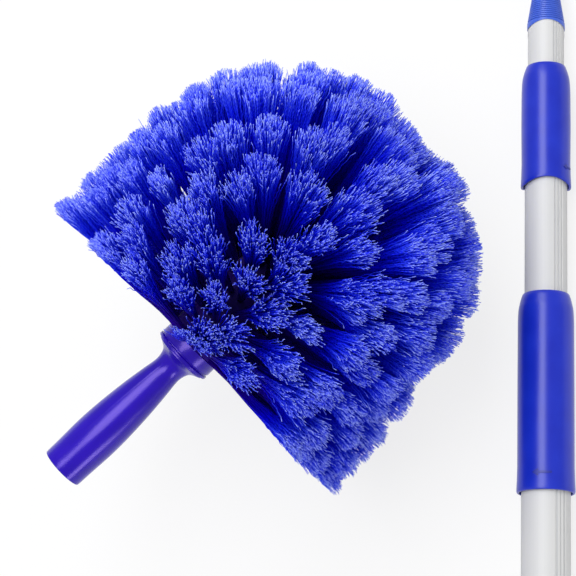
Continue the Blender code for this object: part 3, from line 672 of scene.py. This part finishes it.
# A fine seam stands where the two halves of the mould met
seam_angle, seam_height = math.radians(171), 0.00013
for vertex in handle.data.vertices:
    off_seam = math.remainder(math.atan2(vertex.co.y, vertex.co.x) - seam_angle, math.pi)
    outside = vertex.co.xy.length > 0.0076 and 0.004 < vertex.co.z < 0.076
    if abs(off_seam) < math.pi / handle_sides and outside:
        vertex.co.xy *= 1 + seam_height / vertex.co.xy.length
shade(handle)
handle_violet = Finish(
    "handle_violet", Roughness=0.20, Specular_IOR_Level=0.75, Specular_Tint=(0.55, 0.40, 1.0, 1.0)
)
handle_skin = handle_violet.along(head_place, head_turn)
handle_mottle = handle_violet.noise(handle_violet.stretched(handle_skin, (1, 1, 0.35)), 160, 4.0)
handle_violets = paint(20, 0, 144), paint(38, 0, 182)
handle_violet.lead("Base Color", handle_violet.mix(handle_mottle, *handle_violets))
scuffs = handle_violet.noise(handle_violet.stretched(handle_skin, (1, 1, 0.08)), 900, 3.0)
handle_violet.lead("Roughness", scuffs * 0.12 + 0.16)
handle_violet.bump(handle_mottle, 0.12, 0.0003)
put(handle, "socket_handle_moulding", head_place, head_turn, handle_violet)
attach(handle, "head")
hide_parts("socket_handle", "block_base")


# The brush block
# The core that the tufts are stapled into, moulded in the handle's violet. It is a straight
# barrel with a domed end, and shows only between the roots.
block_foot, block_radius = 0.0913, 0.0160
block_middle = block_foot + 0.0460
block_outline = [
    (0.0060, block_foot + 0.0002), (block_radius - 0.0006, block_foot + 0.0002),
    (block_radius, block_foot + 0.0008), (block_radius, block_middle - 0.0100),
]
for step in range(18):
    slant = math.radians(5 * step)
    dome_height = block_middle + block_radius * math.sin(slant)
    block_outline.append((block_radius * math.cos(slant), dome_height))
block_outline.append((0, block_middle + block_radius))
block = turned(block_outline, 64)
shade(block)
block_violet = Finish("block_violet", Roughness=0.6, Specular_IOR_Level=0.1)
block_skin = block_violet.along(head_place, head_turn)
block_mottle = block_violet.noise(block_skin, 200, 3.0)
# It is painted darker than the handle's violet as painted shade between the roots, and painted
# lighter in its first few millimetres by the handle as painted light
block_height = block_violet.one_of(block_skin, "Z")
painted_light_by_handle = block_violet.maths("MULTIPLY", (block_foot + 0.0060) - block_height, 250, clamp=True)
block_painted_shade = block_violet.mix(block_mottle, paint(20, 0, 86), paint(28, 0, 106))
block_violet.lead("Base Color", block_violet.mix(painted_light_by_handle, block_painted_shade, paint(32, 0, 122)))
block_violet.lead("Roughness", block_mottle * 0.2 + 0.5)
put(block, "brush_block", head_place, head_turn, block_violet)
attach(block, "head")


# The bristles
# Crimped polypropylene filaments, folded in the middle and stapled into the block in tufts. Each
# tuft splits into a few fingers, and all are trimmed to one barrel with a domed end.
bristle_reach = 0.1000
trim_middle = 0.1533
# Where the trimming is uneven: seen from the camera, how far across and up from the middle of the
# domed end, how deep the cut goes there and how wide it spreads
uneven_trim = (
    (0.86, -0.51, 0.0105, 0.13), (0.96, -0.29, 0.0030, 0.10), (1.00, -0.09, -0.0020, 0.10),
    (0.76, 0.65, 0.0115, 0.15), (0.58, 0.81, 0.0020, 0.12), (-0.41, 0.91, 0.0005, 0.15),
    (-0.69, 0.72, 0.0010, 0.15), (0.69, -0.72, -0.0060, 0.06), (0.76, -0.65, -0.0040, 0.13),
)
filament_length, filament_radius = 0.0860, 0.00026
crimp, crimp_start, crimp_steps = 0.00026, 0.70, 8
filaments_in_a_tuft, fingers_in_a_tuft = 146, 6
tuft_root, tuft_flare = 0.0013, 0.0060
# Over a tuft's half width: how far its fingers stand from its middle, and how wide each spreads
finger_apart, finger_spread = (0.46, 0.78), 0.19
# How unevenly long tufts, fingers and filaments are, and how far a tuft's tips are rounded off
tuft_uneven, finger_uneven, filament_uneven = 0.0019, 0.0012, 0.0005
tip_rounding = 0.0052
stray_share = 0.011
fan_across, fan_along = math.radians(7.3), math.radians(5.6)
# The head's own X runs down to the floor: filaments are cut short of it, and none goes past
floor_trim, floor_limit = 0.0985, 0.0993
# In the head's own directions: level towards the camera, and to the right as it sees the head
facing = np.array((-0.9187, -0.3952, 0.0))
right_hand = np.array((0.3952, -0.9187, 0.0))
chance = np.random.default_rng(11)
knots = np.concatenate(((0.0, 0.5), np.linspace(crimp_start, 1.0, crimp_steps)))

bristle = Finish("bristle_blue", Roughness=0.5, Specular_IOR_Level=0.03)
strand_map = bristle.node("ShaderNodeUVMap", {"uv_map": "OFBake"}, {})
strand_tone = bristle.one_of(strand_map, "X")
strand_share = bristle.one_of(strand_map, "Y")
# Both ramps run from root to tip: the roots are painted a darker violet as painted shade deep in
# the tufts, and the tips paler, partly for the split ends and partly as painted highlight
shade_stops = [
    (0.00, paint(48, 0, 160)),
    (0.42, paint(30, 0, 156)),
    (0.58, paint(12, 0, 182)),
    (0.74, paint(2, 0, 224)),
    (0.92, paint(2, 8, 244)),
    (1.00, paint(30, 50, 252)),
]
light_stops = [
    (0.00, paint(52, 0, 180)),
    (0.42, paint(36, 0, 184)),
    (0.57, paint(22, 0, 222)),
    (0.74, paint(8, 10, 254)),
    (0.88, paint(42, 66, 255)),
    (0.95, paint(80, 108, 255)),
    (1.00, paint(176, 194, 255)),
]
shaded = bristle.node("ShaderNodeValToRGB", {"stops": shade_stops}, {0: strand_share})
light = bristle.node("ShaderNodeValToRGB", {"stops": light_stops}, {0: strand_share})
# Pale flecks at the crimps along each filament are painted highlights. A filament's own random
# tone, with these flecks on top, chooses between the darker and the paler ramp
crimp_painted_highlight = bristle.maths("SINE", strand_share * 230.0 + strand_tone * 90.0)
tone_and_painted_highlight = strand_tone * 0.7 + crimp_painted_highlight * 0.24 + 0.15
bristle.lead("Base Color", bristle.mix(tone_and_painted_highlight, shaded, light))


def one_filament():
    """The filament that all are copied from: three-sided, straight, thinner in its last steps."""
    bpy.ops.object.select_all(action="DESELECT")
    bpy.ops.mesh.primitive_circle_add(vertices=3, radius=filament_radius, fill_type="NGON")
    stem = bpy.context.object
    edit_all()
    for low, high in zip(knots[:-1], knots[1:]):
        move = {"value": (0, 0, (high - low) * filament_length)}
        bpy.ops.mesh.extrude_region_move(TRANSFORM_OT_translate=move)
        if high > 0.9:
            bpy.ops.transform.resize(value=(0.92, 0.92, 1))
    bpy.ops.mesh.select_all(action="SELECT")
    bpy.ops.mesh.quads_convert_to_tris()
    bpy.ops.mesh.normals_make_consistent(inside=False)
    bpy.ops.object.mode_set(mode="OBJECT")
    points = np.array([v.co for v in stem.data.vertices])
    corners = np.array([list(p.vertices) for p in stem.data.polygons])
    bpy.data.objects.remove(stem, do_unlink=True)
    return points, corners


filament_points, filament_corners = one_filament()
share_along = np.clip(filament_points[:, 2] / filament_length, 0, 1)
knot_of_point = np.abs(share_along[:, None] - knots[None, :]).argmin(1)
side_of_point = np.sign(np.round(filament_points[:, 0], 5))


def tuft_ring(count, stagger, slant, height, lean, to_camera=0.0, to_right=0.0):
    """The tufts of one ring round the block: where each starts, which way it points and how wide
    it fans. slant is the ring's angle up the domed end, and lean is how far its tufts tip
    towards that end, with more of it on the camera's side and to the right."""
    tufts = []
    for number in range(count):
        turn = 2 * math.pi * (number + stagger + chance.uniform(-0.25, 0.25)) / count
        spoke = np.array((math.cos(turn), math.sin(turn), 0.0))
        axis = np.array((0.0, 0.0, 1.0))
        shown = max(0.0, float(spoke @ facing))
        tip = slant + lean + to_camera * shown**2 + to_right * float(spoke @ right_hand)
        tip += chance.normal(0, math.radians(1.9))
        outward = spoke * math.cos(tip) + axis * math.sin(tip)
        along = axis * math.cos(tip) - spoke * math.sin(tip)
        root_height = height + block_radius * math.sin(slant)
        root = spoke * block_radius * math.cos(slant) + axis * root_height
        narrow = 1 - 0.16 * shown**3 * math.cos(slant)
        wide, long = chance.uniform(0.78, 1.26, 2) * narrow
        tufts.append((root, outward, along, fan_across * wide, fan_along * long))
    return tufts


def spread_tufts(tufts, random):
    """Every filament of some tufts: where it starts, which way it runs, a direction across it,
    how far off the middle of its tuft it stands, how pale it is and how far out it is cut."""
    starts, ways, sides, offs, tones, reaches = [], [], [], [], [], []
    for root, outward, along, sideways, lengthways in tufts:
        count = int(filaments_in_a_tuft * random.uniform(0.92, 1.08))
        across = np.cross(outward, along)
        # One finger stands in the middle of the tuft and the others round it
        finger = random.integers(0, fingers_in_a_tuft, count)
        turns = 2 * math.pi * (np.arange(fingers_in_a_tuft) + random.uniform(0, 1))
        turns /= fingers_in_a_tuft - 1
        middles = np.stack((np.cos(turns), np.sin(turns)), 1)
        middles *= random.uniform(*finger_apart, (fingers_in_a_tuft, 1))
        middles[-1] = 0.0
        spread = middles[finger] + random.normal(0, finger_spread, (count, 2))
        side, length = spread[:, 0], spread[:, 1]
        way = outward + across * np.tan(side * sideways)[:, None]
        way += along * np.tan(length * lengthways)[:, None]
        way += random.normal(0, 0.005, (count, 3))
        way /= np.linalg.norm(way, axis=1)[:, None]
        off = across * side[:, None] + along * length[:, None]
        starts.append(root + off * tuft_root - outward * 0.001)
        ways.append(way)
        sides.append(np.repeat(across[None, :], count, 0))
        offs.append(off)
        finger_tone = random.uniform(0.30, 0.70, fingers_in_a_tuft)
        tones.append(np.clip(random.normal(finger_tone[finger], 0.26), 0.02, 0.98))
        rounding = tip_rounding * (spread**2).sum(1)
        cut = bristle_reach + 0.0012 - abs(random.normal(0, tuft_uneven))
        cut = cut - abs(random.normal(0, finger_uneven, fingers_in_a_tuft))[finger]
        reaches.append(cut - rounding - abs(random.normal(0, filament_uneven, count)))
    start, way, side, off = np.vstack(starts), np.vstack(ways), np.vstack(sides), np.vstack(offs)
    return start, way, side, off, np.concatenate(tones), np.concatenate(reaches)


def uneven_reach(way, reach):
    """How far out each filament is cut, once the trimming's uneven places are taken off."""
    seen = (head_turn.to_matrix().transposed() @ looking).transposed()
    seen_way = way @ np.array(seen).T
    for across, up, depth, width in uneven_trim:
        gap = (seen_way[:, 0] - across) ** 2 + (seen_way[:, 1] - up) ** 2
        gap = gap + 0.3 * seen_way[:, 2] ** 2
        reach = reach - depth * np.exp(-gap / width**2)
    return reach


def hold_edge(start, way, random):
    """Tips up the filaments that would run back past the foot of the block. On the camera's side
    they stand up more, but for a few on its left that lap over the flange."""
    count = len(start)
    to_right = way @ right_hand
    shown = np.maximum(0, way @ facing)
    over_flange = 0.18 * np.exp(-(((to_right + 0.26) / 0.12) ** 2)) * (shown > 0)
    edge = -0.008 + 0.022 * to_right + 0.14 * shown**2 - over_flange
    least = (block_foot + 0.0004 - start[:, 2]) / filament_length + edge
    uneven = random.uniform(0, 1, count) * (0.012 + 0.03 * shown)
    way[:, 2] = np.maximum(way[:, 2], least + uneven)


def trimmed(start, way, reach):
    """How far a filament runs before it meets the outline that the brush is trimmed to, which is
    a barrel, a domed end and a flat above the floor."""
    flat_start, flat_way = start[:, :2], way[:, :2]
    a = (flat_way**2).sum(1)
    b = (flat_start * flat_way).sum(1)
    c = (flat_start**2).sum(1) - reach**2
    barrel = (-b + np.sqrt(np.maximum(b * b - a * c, 0))) / np.maximum(a, 1e-9)
    from_middle = start - np.array((0, 0, trim_middle))
    b = (from_middle * way).sum(1)
    c = (from_middle**2).sum(1) - reach**2
    dome = -b + np.sqrt(np.maximum(b * b - c, 0))
    on_barrel = start[:, 2] + way[:, 2] * barrel < trim_middle
    length = np.where(on_barrel, barrel, dome)
    down = start[:, 0] + way[:, 0] * length
    to_floor = (floor_trim - start[:, 0]) / np.maximum(way[:, 0], 1e-6)
    return np.where(down > floor_trim, to_floor, length)


def bristle_piece(name, node, tufts, seed):
    """One mesh of all the filaments of some tufts."""
    random = np.random.default_rng(seed)
    start, way, side, off, tone, reach = spread_tufts(tufts, random)
    reach = uneven_reach(way, reach)
    hold_edge(start, way, random)
    length = trimmed(start, way, reach)
    count = len(start)
    # How far each knot of a filament is off its line: the crimp, a slow wander, and a bent tip
    phase = random.uniform(0, 2 * math.pi, count)
    plane = np.stack((np.cos(phase), np.sin(phase)), 1)
    zigzag = np.where(np.arange(len(knots)) % 2, 1.0, -1.0) * (knots >= crimp_start)
    wander = plane[:, None, :] * (zigzag * crimp)[None, :, None]
    jitter = random.normal(0, 1, (count, len(knots), 2))
    wander = wander + jitter * (0.00018 * knots)[None, :, None]
    # A few pale ones stray from their tuft, but none beside the flange
    astray = (random.uniform(0, 1, count) < stray_share) & (start[:, 2] > block_foot + 0.0080)
    tone = np.where(astray, 0.98, tone)
    drift = random.normal(0, 1, (count, 2)) * np.where(astray, 0.0040, 0.0008)[:, None]
    wander += drift[:, None, :] * (knots**2)[None, :, None]
    wander[:, -1] += random.normal(0, 0.00030, (count, 2))
    offset = wander[:, knot_of_point, :] + filament_points[None, :, :2]
    # A filament bows in on its way out, so a tuft is tied close to its root and flares at its end
    bow = off
    bow[:, 2] = np.minimum(bow[:, 2], (start[:, 2] - block_foot) / (0.4 * tuft_flare))
    bowed_by = tuft_flare * (share_along**3 - share_along)
    second = np.cross(way, side)
    second /= np.linalg.norm(second, axis=1)[:, None]
    first = np.cross(second, way)
    points = (
        start[:, None, :]
        + way[:, None, :] * (share_along[None, :] * length[:, None])[:, :, None]
        + first[:, None, :] * offset[:, :, :1]
        + second[:, None, :] * offset[:, :, 1:]
        + bow[:, None, :] * bowed_by[None, :, None]
    )
    points[:, :, 0] = np.minimum(points[:, :, 0], floor_limit)
    first_corner = np.arange(count) * len(share_along)
    corners = filament_corners[None, :, :] + first_corner[:, None, None]
    mesh = bpy.data.meshes.new(name)
    flat_points, flat_corners = points.reshape(-1, 3), corners.reshape(-1, 3)
    mesh.vertices.add(len(flat_points))
    mesh.vertices.foreach_set("co", flat_points.ravel())
    mesh.loops.add(flat_corners.size)
    mesh.loops.foreach_set("vertex_index", flat_corners.ravel())
    mesh.polygons.add(len(flat_corners))
    mesh.polygons.foreach_set("loop_start", np.arange(0, flat_corners.size, 3))
    mesh.update(calc_edges=True)
    # The map holds each filament's tone across and the share of its length up
    strands = mesh.uv_layers.new(name="OFBake")
    tone_at = (tone[:, None] + 0.02 * side_of_point[None, :]).ravel()
    share_at = np.tile(share_along, count)
    pairs = np.stack((tone_at[flat_corners.ravel()], share_at[flat_corners.ravel()]), 1)
    strands.uv.foreach_set("vector", np.clip(pairs, 0.001, 0.999).astype(np.float32).ravel())
    mesh.polygons.foreach_set("use_smooth", np.ones(len(flat_corners), bool))
    piece = bpy.data.objects.new(name, mesh)
    bpy.context.scene.collection.objects.link(piece)
    put(piece, name, head_place, head_turn, bristle)
    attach(piece, "head")
    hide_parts(node)


# Six rings stand on the barrel and ten on the domed end, with a small one beside the flange. Each
# of the six leans so many degrees more to the dome on the camera's side, and on its right
barrel_leans = ((8.0, 1.8), (6.0, 1.0), (4.0, 0.4), (2.0, 0.0), (0.5, 0.0), (0.0, 0.0))
dome_counts = (16, 15, 15, 13, 12, 11, 9, 7, 5, 3)
all_tufts = []
for number, (to_camera, to_right) in enumerate(barrel_leans):
    height = block_foot + 0.0030 + 0.0076 * number
    lean = math.radians(1.5 + 2.8 * number)
    stagger = (number % 2) / 2
    more_lean = math.radians(to_camera), math.radians(to_right)
    all_tufts += tuft_ring(16, stagger, 0.0, height, lean, *more_lean)
    if number == 0:
        all_tufts += tuft_ring(8, 0.61, 0.0, block_foot + 0.0012, 0.0, math.radians(1.4))
for number, count in enumerate(dome_counts):
    slant = math.radians(18 + 7.5 * number)
    all_tufts += tuft_ring(count, (number % 2) / 2, slant, block_middle, 0.0)

rows = [f"tuft_row_{number}" for number in range(1, 9)] + ["tuft_crown"]
for number, node in enumerate(rows):
    low = len(all_tufts) * number // len(rows)
    high = len(all_tufts) * (number + 1) // len(rows)
    bristle_piece(f"bristles_{number + 1}", node, all_tufts[low:high], 11 + number)
